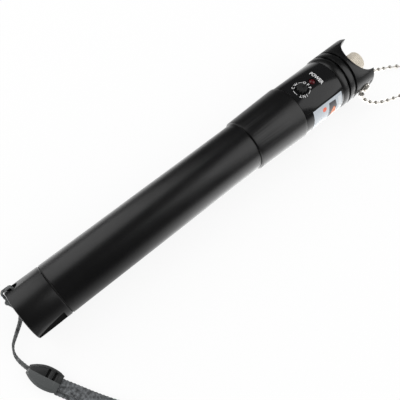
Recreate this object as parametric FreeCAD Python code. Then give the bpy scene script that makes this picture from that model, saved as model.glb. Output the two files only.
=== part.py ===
import FreeCAD, Part
import math
import os

# Pen-type visual fault locator lying on its side, millimetres.
# Each piece is built in the tool's own frame: X runs from the tail to the head,
# the axis is y = z = 0, and the switch knob points up +Z. place() then sets the
# whole tool down on z = 0, centred on the origin. Cord routes are in that last frame.

V = FreeCAD.Vector
X_AXIS = V(1, 0, 0)

# ---- battery cells and the tube round them ----
cell_d = 14.2
cell_body_l = 49.2
nub_d = 5.4
nub_l = 1.3
cell_count = 2
cell_play = 0.4            # radial room round a cell
tube_d = 24.0
tail_spigot_l = 7.2
tail_spigot_step = 1.6     # radial step from the tube's outside to its rear thread
head_spigot_l = 10.5
head_spigot_step = 0.8
thread_gap = 0.35          # radial gap where a screwed joint that opens is drawn plain
joint_fit = 0.05           # radial gap in the joints that stay closed

# ---- tail cap ----
cap_l = 16.0
rim_wall = 3.4             # wall round the open recess
recess_l = 6.2
cap_web = 2.0
cord_hole_d = 4.6
cord_hole_x = 3.7
cord_hole_angle = -46.0    # round the axis, from the knob towards the screw
grip_flat_l = 13.6
grip_flat_depth = 0.85
grip_flat_angle = 93.0
seal_t = 0.3
seal_wall = 0.9
edge_break = 0.35          # small chamfer on turned edges

# ---- battery contacts ----
contact_t = 0.5
contact_inset = 0.6
spring_inset = 2.6
spring_wire_d = 0.8
spring_turns = 4
spring_steps = 8           # straight runs in each turn
spring_l = 6.9
spring_play = 0.1          # between the last coil and the cell
front_contact_d = 6.0
front_contact_t = 1.2
plug_nose_l = 13.5
plug_flange_t = 1.5
plug_play = 0.3

# ---- head housing: flared sleeve and recessed label seat ----
sleeve_l = 28.1
sleeve_rear_step = 0.85    # the sleeve stands this far proud of the tube
sleeve_lip = 1.2           # straight band at the wide end of the flare
label_seat_l = 24.9
label_seat_step = 0.65
head_wall = 2.6
crown_spigot_l = 5.4
crown_spigot_step = 1.4

# ---- film, side label ----
film_t = 0.2
film_inset = 0.15
label_start_angle = 53.0
label_span = 76.0
label_t = 0.1
label_rear_inset = 4.8
label_front_inset = 1.4

# ---- switch, lamp and board ----
knob_x = 6.7               # from the shoulder of the sleeve
knob_d = 5.0
knob_rise = 1.3            # above the film
knob_sunk = 2.1            # below the film
knob_gap = 0.3
knob_ribs = 10
knob_rib_cut = 0.4
shaft_d = 3.0
shaft_fit = 0.06
shaft_room = 1.9           # between the knob's skirt and the switch
board_t = 1.2
board_gap = 0.4            # to the laser module and its holder
board_side_room = 0.6
switch_w = 7.6
lamp_x = 13.6              # from the shoulder of the sleeve
lamp_d = 3.5
lamp_l = 5.3
lamp_rise = 0.35
lamp_rim_d = 4.3
lamp_rim_t = 0.8

# ---- laser module ----
module_d = 9.0
module_l = 17.0
module_bore_d = 6.6
lens_t = 1.6
holder_l = 11.5
holder_play = 0.05

# ---- connector port ----
flange_t = 2.0
boss_d = 12.0
boss_l = 1.0
barrel_d = 8.0
barrel_l = 3.8
guide_d = 4.7
guide_l = 7.0
guide_wall = 0.7
guide_lip_l = 0.8
guide_lip_play = 0.2       # radial room round a ferrule in the guide's lip
guide_slot_w = 0.6
guide_slot_l = 1.5
ferrule_d = 2.5
split_gap = 0.3
beam_d = 2.0

# ---- horned crown ----
crown_l = 21.0
crown_d = 27.3
crown_chamfer_l = 1.2
crown_chamfer_h = 0.45
groove_w = 1.4
groove_depth = 1.2
groove_1_x = 3.9           # groove centres, from the crown's rear face
groove_2_x = 8.1
channel_r = 9.85           # cross channel that leaves the two horns
crown_turn = 8.7           # how far the horns are turned past square to the knob
port_bore_d = 15.0
screw_from_front = 5.3
screw_angle = 94.0         # round the axis, from the knob
screw_flat_depth = 0.3
screw_flat_l = 8.0

# ---- lug screw and chain tag ----
screw_head_d = 4.0
screw_head_h = 1.5
screw_d = 2.0
screw_tip = 0.4
screw_slot_w = 0.5
screw_slot_depth = 0.6
tag_t = 0.6
tag_d = 5.0
tag_neck_w = 2.0
tag_reach = 4.4            # from the screw to the centre of the upright eye
tag_eye_d = 2.8
tag_eye_sink = 0.5         # the eye's foot runs this deep into the neck
tag_eye_hole_d = 1.4
tag_fit = 0.05
tag_clear = 0.1            # the neck rides this far above the crown

# ---- dust cap and the ring that ties it to the chain ----
dust_cap_d = 10.0
dust_cap_l = 15.5
dust_cap_gap = 0.3
dust_cap_fit = 0.08        # radial, on the threaded barrel
dust_cap_wall = 2.6
dust_cap_round = 0.7
ring_groove_x = 3.9        # from the cap's open end
ring_groove_w = 1.3
ring_groove_depth = 0.25
ring_t = 0.7
ring_fit = 0.06
ring_d = 11.4
ring_lug_angle = 152.0
ring_lug_reach = 7.6
ring_lug_w = 2.4
ring_lug_hole_d = 1.2
ring_lug_edge = 1.2        # from the hole's centre to the lug's end

# ---- chain ----
chain_d = 2.1
chain_seat = 0.8           # room between the tag's eye and the chain that hangs from it
chain_gap = 0.2

# ---- wrist lanyard ----
cord_d = 1.3               # one strand of the thin loop
pair_d = 2.5               # the two strands side by side
hitch_reach = 0.8          # the looped strand's centre off the rim's faces
knot_d = 2.4
knot_back = 1.1            # behind the end of the tail cap
strap_w = 6.4
strap_t = 1.1
clip_l = 14.8
clip_w = 9.0
clip_nose_w = 3.4
clip_h = 5.4
clip_chamfer = 1.3
clip_slot_w = 1.2
clip_slot_l = 3.4
clip_slot_depth = 1.6
clip_mouth_l = 2.0
clip_mouth_room = 1.3

# ---- stations along the axis, from the end of the tail cap ----
tube_rear = cap_l + seal_t
cap_floor = recess_l + cap_web
cells_rear = cap_floor + contact_t + spring_l
cell_l = cell_body_l + nub_l
cells_front = cells_rear + cell_count * cell_l
plug_rear = cells_front + front_contact_t
plug_seat = plug_rear + plug_nose_l
head_rear = plug_seat - plug_play - head_spigot_l
shoulder = head_rear + sleeve_l
crown_rear = shoulder + label_seat_l
crown_front = crown_rear + crown_l
spigot_front = crown_rear + crown_spigot_l
flange_front = spigot_front + flange_t
boss_front = flange_front + boss_l
barrel_front = boss_front + barrel_l
guide_front = barrel_front + guide_l
dust_cap_rear = boss_front + dust_cap_gap
overall_l = dust_cap_rear + dust_cap_l
screw_x = crown_front - screw_from_front
flat_r = crown_d / 2 - screw_flat_depth
module_front = spigot_front - 0.6
module_rear = module_front - module_l
holder_front = module_front - 0.5
holder_rear = holder_front - holder_l
board_rear = plug_seat + plug_flange_t + board_gap
board_front = holder_rear - board_gap
ring_front = dust_cap_rear + ring_groove_x + (ring_groove_w + ring_t) / 2

# ---- diameters and heights that follow ----
tail_spigot_d = tube_d - 2 * tail_spigot_step
head_spigot_d = tube_d - 2 * head_spigot_step
tube_bore_d = cell_d + 2 * cell_play
recess_d = tube_d - 2 * rim_wall
sleeve_d = crown_d
sleeve_rear_d = tube_d + 2 * sleeve_rear_step
label_seat_d = sleeve_d - 2 * label_seat_step
head_bore_d = label_seat_d - 2 * head_wall
crown_spigot_d = label_seat_d - 2 * crown_spigot_step
film_r = label_seat_d / 2 + film_t
board_z = module_d / 2 + board_gap
board_top = board_z + board_t
board_w = 2 * (math.sqrt((head_bore_d / 2) ** 2 - board_top ** 2) - board_side_room)
switch_top = film_r - knob_sunk - shaft_room
axis_z = crown_d / 2
eye_r = crown_d / 2 + tag_clear + tag_t - tag_eye_sink + tag_eye_d / 2
axis_y = (eye_r * math.sin(math.radians(screw_angle)) + tag_eye_d / 2 - crown_d / 2) / 2
place = V(-overall_l / 2, axis_y, axis_z)


def turned(points):
    """Solid of revolution about X from (x, radius) corners."""
    corners = [V(x, 0, r) for x, r in points]
    wire = Part.makePolygon(corners + [corners[0]])
    return Part.Face(wire).revolve(V(0, 0, 0), X_AXIS, 360)


def rod(diameter, start_x, end_x):
    return Part.makeCylinder(diameter / 2, end_x - start_x, V(start_x, 0, 0), X_AXIS)


def pipe(outer_d, inner_d, start_x, end_x):
    return rod(outer_d, start_x, end_x).cut(rod(inner_d, start_x, end_x))


def round_axis(shape, angle):
    """Turn a shape built on +Z round the tool's axis, towards the screw side."""
    return shape.copy().rotate(V(0, 0, 0), X_AXIS, angle)


def round_point(point, angle):
    turn = math.radians(angle)
    return V(point.x, -point.z * math.sin(turn), point.z * math.cos(turn))


def upright(diameter, x, low, high):
    return Part.makeCylinder(diameter / 2, high - low, V(x, 0, low), V(0, 0, 1))


def tube_path(points, print_name):
    """Straight runs joined by tangent arcs, each as large as its runs allow."""
    edges = []
    radii = []
    last = points[0]
    for before, corner, after in zip(points, points[1:], points[2:]):
        back = before.sub(corner)
        ahead = after.sub(corner)
        turn = math.pi - back.getAngle(ahead)
        reach = 0.45 * min(back.Length, ahead.Length)
        back.normalize()
        ahead.normalize()
        radii.append(reach / math.tan(turn / 2))
        start = corner + back * reach
        end = corner + ahead * reach
        bisector = (back + ahead).normalize()
        middle = corner + bisector * (radii[-1] / math.cos(turn / 2) - radii[-1])
        edges.append(Part.LineSegment(last, start).toShape())
        edges.append(Part.Arc(start, middle, end).toShape())
        last = end
    edges.append(Part.LineSegment(last, points[-1]).toShape())
    print(print_name, "bend radii", [round(radius, 1) for radius in radii])
    return Part.Wire(edges)


def from_tail(points):
    """Points given from the tail's end, the axis and the floor, in the set-down frame."""
    return [V(place.x + x, axis_y + y, z) for x, y, z in points]


def from_head(points):
    """Points given from the dust cap's end, the axis and the floor, in the set-down frame."""
    return [V(place.x + overall_l + x, axis_y + y, z) for x, y, z in points]


def swept_tube(points, diameter, print_name):
    path = tube_path(points, print_name)
    circle = Part.Wire(Part.makeCircle(diameter / 2, points[0], points[1].sub(points[0])))
    tube = path.makePipeShell([circle], True, False)
    section = math.pi * diameter ** 2 / 4
    print(print_name, "volume / section x length", round(tube.Volume / (section * path.Length), 3))
    return tube


# ---- tail ----

def tail_cap():
    radius = tube_d / 2
    bore = tail_spigot_d / 2 + thread_gap
    cap = turned([
        (recess_l, 0), (recess_l, recess_d / 2), (0, recess_d / 2), (0, radius - edge_break),
        (edge_break, radius), (cap_l - edge_break, radius), (cap_l, radius - edge_break),
        (cap_l, bore), (cap_floor, bore), (cap_floor, 0)])
    hole = upright(cord_hole_d, cord_hole_x, recess_d / 2 - 1, radius + 1)
    cap = cap.cut(hole.rotate(V(0, 0, 0), X_AXIS, cord_hole_angle))
    slope = math.degrees(math.atan2(grip_flat_depth, grip_flat_l))
    flat = Part.makeBox(grip_flat_l, 2 * radius, radius, V(0, -radius, 0))
    flat.rotate(V(0, 0, 0), V(0, 1, 0), slope)
    flat.translate(V(0, 0, radius))
    return cap.cut(flat.rotate(V(0, 0, 0), X_AXIS, grip_flat_angle))


def tail_seal():
    outer = tube_d - 2 * edge_break
    return pipe(outer, outer - 2 * seal_wall, cap_l, tube_rear)


def tail_contact():
    return rod(cell_d - 2 * contact_inset, cap_floor, cap_floor + contact_t)


def battery_spring():
    """Coil with a six-sided wire along straight runs."""
    coil_r = cell_d / 2 - spring_inset
    rear = cap_floor + contact_t + spring_wire_d / 2
    rise = spring_l - spring_wire_d - spring_play
    steps = spring_turns * spring_steps
    points = []
    for step in range(steps + 1):
        turn = 2 * math.pi * step / spring_steps
        points.append(V(rear + rise * step / steps, coil_r * math.cos(turn), coil_r * math.sin(turn)))
    heading = points[1].sub(points[0])
    circle = Part.makeCircle(spring_wire_d / 2, points[0], heading)
    corners = circle.discretize(Number=7)
    section = Part.makePolygon(corners)
    return Part.makePolygon(points).makePipeShell([section], True, True, 1)


# ---- battery tube ----

def battery_tube():
    radius = tube_d / 2
    tail_r = tail_spigot_d / 2
    head_r = head_spigot_d / 2
    bore = tube_bore_d / 2
    return turned([
        (tube_rear - tail_spigot_l, bore), (tube_rear - tail_spigot_l, tail_r - edge_break),
        (tube_rear - tail_spigot_l + edge_break, tail_r), (tube_rear, tail_r),
        (tube_rear, radius - edge_break), (tube_rear + edge_break, radius),
        (head_rear, radius), (head_rear, head_r),
        (head_rear + head_spigot_l - edge_break, head_r),
        (head_rear + head_spigot_l, head_r - edge_break),
        (head_rear + head_spigot_l, bore)])


def battery_cell(number):
    rear = cells_rear + number * cell_l
    front = rear + cell_body_l
    radius = cell_d / 2
    return turned([
        (rear, 0), (rear, radius), (front, radius), (front, nub_d / 2),
        (front + nub_l, nub_d / 2), (front + nub_l, 0)])


def front_contact():
    return rod(front_contact_d, cells_front, plug_rear)


def contact_plug():
    """Insulator that carries the front contact inside the end of the tube."""
    nose_r = tube_bore_d / 2 - plug_play
    flange_r = head_spigot_d / 2 - plug_play
    return turned([
        (plug_rear, 0), (plug_rear, nose_r), (plug_seat, nose_r), (plug_seat, flange_r),
        (plug_seat + plug_flange_t, flange_r), (plug_seat + plug_flange_t, 0)])


# ---- head ----

def head_housing():
    rear_r = sleeve_rear_d / 2
    wide_r = sleeve_d / 2
    seat_r = label_seat_d / 2
    spigot_r = crown_spigot_d / 2 - joint_fit
    tube_fit_r = head_spigot_d / 2 + joint_fit
    bore = head_bore_d / 2
    step = plug_seat + plug_flange_t
    body = turned([
        (head_rear, tube_fit_r), (head_rear, rear_r - edge_break),
        (head_rear + edge_break, rear_r), (shoulder - sleeve_lip - edge_break, wide_r),
        (shoulder - edge_break, wide_r), (shoulder, wide_r - edge_break), (shoulder, seat_r),
        (crown_rear, seat_r), (crown_rear, spigot_r), (spigot_front, spigot_r),
        (spigot_front, bore), (step, bore), (step, tube_fit_r)])
    knob_hole = upright(knob_d + 2 * knob_gap, shoulder + knob_x, 0, wide_r + 1)
    lamp_hole = upright(lamp_d, shoulder + lamp_x, 0, wide_r + 1)
    return body.cut(knob_hole).cut(lamp_hole)


def arc_patch(inner_r, thickness, rear, front, start_angle, span):
    """Thin curved sheet on the label seat."""
    sheet = pipe(2 * (inner_r + thickness), 2 * inner_r, rear, front)
    reach = 2 * (inner_r + thickness)
    sector = Part.makeCylinder(reach, front - rear, V(rear, 0, 0), X_AXIS, span)
    sector.rotate(V(0, 0, 0), X_AXIS, start_angle)
    return sheet.common(sector)


def control_film():
    film = pipe(2 * film_r, label_seat_d, shoulder + film_inset, crown_rear - film_inset)
    knob_hole = upright(knob_d + 2 * knob_gap, shoulder + knob_x, 0, film_r + 1)
    lamp_hole = upright(lamp_d, shoulder + lamp_x, 0, film_r + 1)
    return film.cut(knob_hole).cut(lamp_hole)


def side_label():
    return arc_patch(film_r, label_t, shoulder + label_rear_inset,
                     crown_rear - label_front_inset, label_start_angle, label_span)


def switch_knob():
    x = shoulder + knob_x
    top = film_r + knob_rise
    base = film_r - knob_sunk
    knob = upright(knob_d, x, base, top)
    knob = knob.makeChamfer(edge_break, [edge for edge in knob.Edges if edge.BoundBox.ZMin > top - 0.01])
    for rib in range(knob_ribs):
        turn = 2 * math.pi * rib / knob_ribs
        centre = V(x + knob_d / 2 * math.cos(turn), knob_d / 2 * math.sin(turn), base - 1)
        knob = knob.cut(Part.makeCylinder(knob_rib_cut, top - base + 2, centre, V(0, 0, 1)))
    slot = Part.makeBox(knob_d / 2, 0.5, 0.5, V(x, -0.25, top - 0.4))
    shaft = upright(shaft_d, x, board_top + board_gap, base + 0.5)
    return knob.cut(slot).fuse(shaft).removeSplitter()


def switch_body():
    x = shoulder + knob_x
    low = V(x - switch_w / 2, -switch_w / 2, board_top)
    body = Part.makeBox(switch_w, switch_w, switch_top - board_top, low)
    return body.cut(upright(shaft_d + 2 * shaft_fit, x, board_top + board_gap / 2, switch_top + 1))


def circuit_board():
    return Part.makeBox(board_front - board_rear, board_w, board_t, V(board_rear, -board_w / 2, board_z))


def lamp_spacer():
    top = film_r + lamp_rise - lamp_l
    return upright(lamp_rim_d, shoulder + lamp_x, board_top, top)


def power_lamp():
    x = shoulder + lamp_x
    low = film_r + lamp_rise - lamp_l
    radius = lamp_d / 2
    rim = upright(lamp_rim_d, x, low, low + lamp_rim_t)
    stem = upright(lamp_d, x, low, low + lamp_l - radius)
    dome = Part.makeSphere(radius, V(x, 0, low + lamp_l - radius))
    return stem.fuse(dome).fuse(rim).removeSplitter()


def module_holder():
    return pipe(head_bore_d - 2 * holder_play, module_d, holder_rear, holder_front)


def laser_module():
    lens_seat = module_front - 2 * lens_t
    return rod(module_d, module_rear, module_front).cut(rod(module_bore_d, lens_seat, module_front))


def laser_lens():
    rear = module_front - 2 * lens_t
    radius = module_bore_d / 2
    crown_h = 0.5
    return turned([
        (rear, 0), (rear, radius), (rear + lens_t - crown_h, radius),
        (rear + lens_t - crown_h / 4, radius / 2), (rear + lens_t, 0)])


# ---- connector port ----

def adapter_body():
    """Turned port body: flange clamped by the crown, boss and threaded barrel."""
    flange_r = crown_spigot_d / 2 - joint_fit
    body = turned([
        (spigot_front, beam_d / 2), (spigot_front, flange_r), (flange_front, flange_r),
        (flange_front, boss_d / 2), (boss_front, boss_d / 2), (boss_front, barrel_d / 2),
        (barrel_front - edge_break, barrel_d / 2), (barrel_front, barrel_d / 2 - edge_break),
        (barrel_front, beam_d / 2)])
    return body.cut(rod(guide_d, flange_front, barrel_front + 1))


def ferrule_guide():
    bore = guide_d - 2 * guide_wall
    lip_r = ferrule_d / 2 + guide_lip_play
    guide = turned([
        (flange_front, bore / 2), (flange_front, guide_d / 2),
        (guide_front - edge_break, guide_d / 2), (guide_front, guide_d / 2 - edge_break),
        (guide_front, lip_r), (guide_front - guide_lip_l, lip_r),
        (guide_front - guide_lip_l, bore / 2)])
    slot = Part.makeBox(guide_slot_l + 1, guide_slot_w, guide_d,
                        V(guide_front - guide_slot_l, -guide_slot_w / 2, 0))
    for angle in (-35, 35):
        guide = guide.cut(round_axis(slot, angle))
    return guide


def split_sleeve():
    bore = guide_d - 2 * guide_wall
    sleeve = pipe(bore, ferrule_d, flange_front, guide_front - guide_lip_l)
    length = guide_front - flange_front
    gap = Part.makeBox(length, split_gap, guide_d, V(flange_front, -split_gap / 2, -guide_d))
    return sleeve.cut(gap)


def groove(x):
    """Square ring groove cutter round the crown."""
    return pipe(crown_d + 2, crown_d - 2 * groove_depth, x - groove_w / 2, x + groove_w / 2)


def crown():
    """Horned crown: turned, grooved, then crossed by one round channel."""
    wide_r = crown_d / 2
    spigot_r = crown_spigot_d / 2
    body = turned([
        (crown_rear, spigot_r), (crown_rear, wide_r - crown_chamfer_h),
        (crown_rear + crown_chamfer_l, wide_r), (crown_front - edge_break / 2, wide_r),
        (crown_front, wide_r - edge_break / 2), (crown_front, port_bore_d / 2),
        (flange_front, port_bore_d / 2), (flange_front, spigot_r)])
    for station in (groove_1_x, groove_2_x):
        body = body.cut(groove(crown_rear + station))
    channel = Part.makeCylinder(channel_r, 2 * crown_d, V(crown_front, 0, -crown_d), V(0, 0, 1))
    body = body.cut(round_axis(channel, crown_turn))
    flat = Part.makeBox(screw_flat_l, crown_d, crown_d,
                        V(screw_x - screw_flat_l / 2, -crown_d / 2, flat_r))
    body = body.cut(round_axis(flat, screw_angle))
    return body.cut(round_axis(upright(screw_d, screw_x, 0, crown_d), screw_angle))


def lug_screw():
    under = flat_r + tag_t
    head = upright(screw_head_d, screw_x, under, under + screw_head_h)
    top_edges = [edge for edge in head.Edges if edge.BoundBox.ZMin > under + screw_head_h - 0.01]
    head = head.makeChamfer(screw_head_h / 3, top_edges)
    slot_z = under + screw_head_h - screw_slot_depth
    slot = Part.makeBox(screw_head_d, screw_slot_w, screw_head_h,
                        V(screw_x - screw_head_d / 2, -screw_slot_w / 2, slot_z))
    shank = upright(screw_d, screw_x, channel_r - screw_tip, under)
    return round_axis(head.cut(slot).fuse(shank), screw_angle)


def chain_tag():
    """Tag under the lug screw, joggled up over the crown, with an upright eye for the chain."""
    eye_x = screw_x - tag_reach
    raised = crown_d / 2 + tag_clear
    neck_l = tag_reach - screw_head_d / 2 - tag_clear
    neck = Part.makeBox(neck_l, tag_neck_w, tag_t, V(eye_x, -tag_neck_w / 2, raised))
    plate = upright(tag_d, screw_x, flat_r, flat_r + tag_t)
    plate = plate.cut(upright(screw_d + 2 * tag_fit, screw_x, flat_r - 1, flat_r + tag_t + 1))
    eye = Part.makeCylinder(tag_eye_d / 2, tag_t, V(eye_x, -tag_t / 2, eye_r), V(0, 1, 0))
    hole = Part.makeCylinder(tag_eye_hole_d / 2, tag_t + 2, V(eye_x, -tag_t / 2 - 1, eye_r), V(0, 1, 0))
    tag = plate.fuse(neck).fuse(eye.cut(hole)).removeSplitter()
    return round_axis(tag, screw_angle)


# ---- dust cap ----

def dust_cap():
    radius = dust_cap_d / 2
    bore = barrel_d / 2 + dust_cap_fit
    rear = dust_cap_rear
    front = overall_l
    groove_rear = rear + ring_groove_x
    groove_front = groove_rear + ring_groove_w
    groove_r = radius - ring_groove_depth
    floor = front - dust_cap_wall
    cap = turned([
        (rear, bore), (rear, radius - edge_break / 2), (rear + edge_break / 2, radius),
        (groove_rear, radius), (groove_rear, groove_r), (groove_front, groove_r),
        (groove_front, radius), (front, radius), (front, 0), (floor, 0), (floor, bore)])
    rim = [edge for edge in cap.Edges
           if edge.BoundBox.XMin > front - 0.01 and edge.BoundBox.ZLength > radius]
    return cap.makeFillet(dust_cap_round, rim)


def cap_ring():
    """Loose washer in the cap's groove, with a lug for the chain."""
    rear = ring_front - ring_t
    inner = dust_cap_d - 2 * ring_groove_depth + 2 * ring_fit
    washer = pipe(ring_d, inner, rear, rear + ring_t)
    lug = Part.makeBox(ring_t, ring_lug_w, ring_lug_reach - inner / 2 - 0.4,
                       V(rear, -ring_lug_w / 2, inner / 2 + 0.4))
    hole = Part.makeCylinder(ring_lug_hole_d / 2, ring_t + 2,
                             V(rear - 1, 0, ring_lug_reach - ring_lug_edge), X_AXIS)
    return washer.fuse(round_axis(lug, ring_lug_angle)).cut(round_axis(hole, ring_lug_angle))


# ---- chain: from the tag, out over the floor in a loop, and back to the cap's ring ----

CHAIN_ROUTE = [
    (-11.6, -17.2, 8.8), (-7.8, -19.6, 5.6), (-2.2, -22.2, 3.4), (5.8, -23.9, 1.5),
    (13.4, -26.3, 1.25), (21.4, -27, 1.25), (27.6, -23.5, 1.25), (28, -16, 1.25),
    (23.6, -11.2, 1.25), (17, -8.2, 1.7), (10.8, -7, 4.2), (3.8, -5.5, 6.3), (-4.6, -3.6, 7.7)]


def bead_chain():
    """Plain rod of the beads' diameter along the chain."""
    hang = tag_t / 2 + chain_seat
    lug_hole = V(ring_front + chain_gap, 0, ring_lug_reach - ring_lug_edge)
    start = round_point(V(screw_x - tag_reach, 0, eye_r), screw_angle).add(place).sub(V(0, 0, hang))
    end = round_point(lug_hole, ring_lug_angle).add(place)
    return swept_tube([start] + from_head(CHAIN_ROUTE) + [end], chain_d, "bead_chain")


# ---- lanyard, in the set-down frame ----

PAIR_ROUTE = [
    (0.4, 3.4, 13.0), (-1.4, 1.2, 8.2), (-7.2, -1.6, 4.2), (-11.6, -4.6, 2.9),
    (-12.8, -10.4, 2.5), (-10.9, -16.2, 2.4)]

CLIP_NOSE = (-10.9, -16.2, 0.1)
CLIP_HEADING = -65.2       # degrees from +X, seen from above

STRAP_ROUTE = [
    (-5.2, -28.4, 2.1), (-1.6, -34.8, 2.1), (3.1, -43.4, 2.1), (9.4, -53.5, 2.05),
    (19.6, -66, 1.15), (36, -78, 0.65), (47.5, -90, 0.65), (39, -102, 0.65),
    (20, -103.5, 0.65), (0, -101.5, 0.65), (-10, -87, 0.65), (-8, -68, 0.65),
    (1.4, -45.4, 0.65), (-3.2, -35.6, 0.65), (-6.8, -29.2, 0.65)]


def knot_centre():
    inner_r = recess_d / 2 - hitch_reach
    return round_point(V(-knot_back, 0, inner_r), cord_hole_angle).add(place)


def lanyard_hitch():
    """The thin cord looped through the hole and over the rim, with its knot."""
    low = recess_d / 2 - hitch_reach
    high = tube_d / 2 + hitch_reach
    middle_x = (cord_hole_x - hitch_reach) / 2
    halves = []
    for x in (-hitch_reach, cord_hole_x):
        corners = [V(middle_x, 0, low), V(x, 0, low), V(x, 0, high), V(middle_x, 0, high)]
        halves.append(swept_tube(corners, cord_d, "lanyard_hitch"))
    knot = Part.makeSphere(knot_d / 2, V(-knot_back, 0, low))
    hitch = round_axis(halves[0].fuse(halves[1]).fuse(knot), cord_hole_angle)
    hitch.translate(place)
    return hitch


def lanyard_cord():
    return swept_tube([knot_centre()] + from_tail(PAIR_ROUTE), pair_d, "lanyard_cord")


def lanyard_clip():
    """Moulded end piece: narrow nose, full belly, chamfered all round, open for the strap."""
    nose = clip_nose_w / 2
    belly = clip_w / 2
    tail = 0.8 * belly
    edges = []
    for side in (1, -1):
        corners = [V(0, side * nose, 0), V(0.25 * clip_l, side * 0.8 * belly, 0),
                   V(0.55 * clip_l, side * belly, 0), V(0.8 * clip_l, side * 0.96 * belly, 0),
                   V(clip_l, side * tail, 0)]
        edges.append(Part.Arc(*corners[:3]).toShape())
        edges.append(Part.Arc(*corners[2:]).toShape())
    edges.append(Part.LineSegment(V(0, nose, 0), V(0, -nose, 0)).toShape())
    edges.append(Part.LineSegment(V(clip_l, tail, 0), V(clip_l, -tail, 0)).toShape())
    outline = Part.Wire(Part.__sortEdges__(edges))
    body = Part.Face(outline).extrude(V(0, 0, clip_h))
    rims = [edge for edge in body.Edges if edge.BoundBox.ZLength < 0.01]
    body = body.makeChamfer(clip_chamfer, rims)
    for x in (0.56 * clip_l, 0.76 * clip_l):
        slot = Part.makeBox(clip_slot_w, clip_slot_l, clip_slot_depth + 1,
                            V(x, 0.2, clip_h - clip_slot_depth))
        body = body.cut(slot)
    mouth_w = strap_w + 2 * clip_mouth_room
    mouth = Part.makeBox(clip_mouth_l + 1, mouth_w, 3 * strap_t + 1,
                         V(clip_l - clip_mouth_l, -mouth_w / 2, -1))
    body = body.cut(mouth)
    body.rotate(V(0, 0, 0), V(0, 0, 1), CLIP_HEADING)
    body.translate(from_tail([CLIP_NOSE])[0])
    return body


def lanyard_strap():
    """Flat braided band: out above, round the wrist loop and back underneath."""
    points = from_tail(STRAP_ROUTE)
    path = tube_path(points, "lanyard_strap")
    heading = points[1].sub(points[0]).normalize()
    across = V(0, 0, 1).cross(heading).normalize() * (strap_w / 2)
    rise = V(0, 0, strap_t / 2)
    corners = [points[0] + across + rise, points[0] - across + rise,
               points[0] - across - rise, points[0] + across - rise]
    section = Part.makePolygon(corners + [corners[0]])
    sweep = Part.BRepOffsetAPI.MakePipeShell(path)
    sweep.setBiNormalMode(V(0, 0, 1))
    sweep.add(section)
    sweep.build()
    sweep.makeSolid()
    strap = sweep.shape()
    print("lanyard_strap length", round(path.Length, 1),
          "volume / section x length", round(strap.Volume / (strap_w * strap_t * path.Length), 3))
    return strap


TOOL_PIECES = {
    "tail_cap": tail_cap, "tail_seal": tail_seal, "tail_contact": tail_contact,
    "battery_spring": battery_spring, "battery_tube": battery_tube,
    "front_contact": front_contact, "contact_plug": contact_plug,
    "head_housing": head_housing, "control_film": control_film, "side_label": side_label,
    "switch_knob": switch_knob, "switch_body": switch_body, "circuit_board": circuit_board,
    "lamp_spacer": lamp_spacer, "power_lamp": power_lamp, "module_holder": module_holder,
    "laser_module": laser_module, "laser_lens": laser_lens, "adapter_body": adapter_body,
    "ferrule_guide": ferrule_guide, "split_sleeve": split_sleeve, "crown": crown,
    "lug_screw": lug_screw, "chain_tag": chain_tag, "dust_cap": dust_cap,
    "cap_ring": cap_ring}

CORD_PIECES = {
    "bead_chain": bead_chain, "lanyard_hitch": lanyard_hitch, "lanyard_cord": lanyard_cord,
    "lanyard_clip": lanyard_clip, "lanyard_strap": lanyard_strap}


def main():
    os.makedirs("parts", exist_ok=True)
    shapes = {name: make() for name, make in TOOL_PIECES.items()}
    for number in range(cell_count):
        shapes["battery_cell_%d" % (number + 1)] = battery_cell(number)
    for shape in shapes.values():
        shape.translate(place)
    for name, make in CORD_PIECES.items():
        shapes[name] = make()
    for name, shape in shapes.items():
        print(name, "valid", shape.isValid(), "solids", len(shape.Solids),
              "volume", round(shape.Volume, 2))
        shape.exportStep("parts/%s.step" % name)


main()
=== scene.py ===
import math

import bmesh
import bpy
from mathutils import Matrix, Quaternion, Vector


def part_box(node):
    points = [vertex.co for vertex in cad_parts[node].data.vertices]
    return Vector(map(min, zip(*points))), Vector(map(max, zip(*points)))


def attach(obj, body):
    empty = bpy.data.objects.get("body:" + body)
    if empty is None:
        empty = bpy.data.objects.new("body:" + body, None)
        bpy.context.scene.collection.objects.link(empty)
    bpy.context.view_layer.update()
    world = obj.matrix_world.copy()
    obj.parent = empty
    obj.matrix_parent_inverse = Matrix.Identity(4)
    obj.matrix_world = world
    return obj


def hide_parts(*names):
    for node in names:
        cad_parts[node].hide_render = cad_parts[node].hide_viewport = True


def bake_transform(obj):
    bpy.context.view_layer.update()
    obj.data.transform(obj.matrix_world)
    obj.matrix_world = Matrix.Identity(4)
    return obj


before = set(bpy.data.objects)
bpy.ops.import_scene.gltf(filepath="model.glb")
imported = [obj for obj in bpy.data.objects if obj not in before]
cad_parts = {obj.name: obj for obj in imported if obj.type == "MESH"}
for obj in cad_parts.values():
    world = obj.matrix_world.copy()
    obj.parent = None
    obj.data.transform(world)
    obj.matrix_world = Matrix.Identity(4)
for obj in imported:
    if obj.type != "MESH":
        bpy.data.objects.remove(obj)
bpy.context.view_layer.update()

MM = 0.001
FINE = 96                  # steps round a turned piece
COARSE = 24                # steps round a coil, a coarse thread or a flat braid
CORD_CORNERS = 10          # corners of a wire's or a strand's section

# ---- the tool's own stations, read from the frame ----
tail_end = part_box("tail_cap")[0].x
cap_low, cap_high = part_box("dust_cap")
head_end = cap_high.x
axis_y = (cap_low.y + cap_high.y) / 2
axis_z = (cap_low.z + cap_high.z) / 2


def span(node):
    """Where a piece starts and stops along the tool, in millimetres from the tail's end."""
    low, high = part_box(node)
    return (low.x - tail_end) / MM, (high.x - tail_end) / MM


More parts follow.
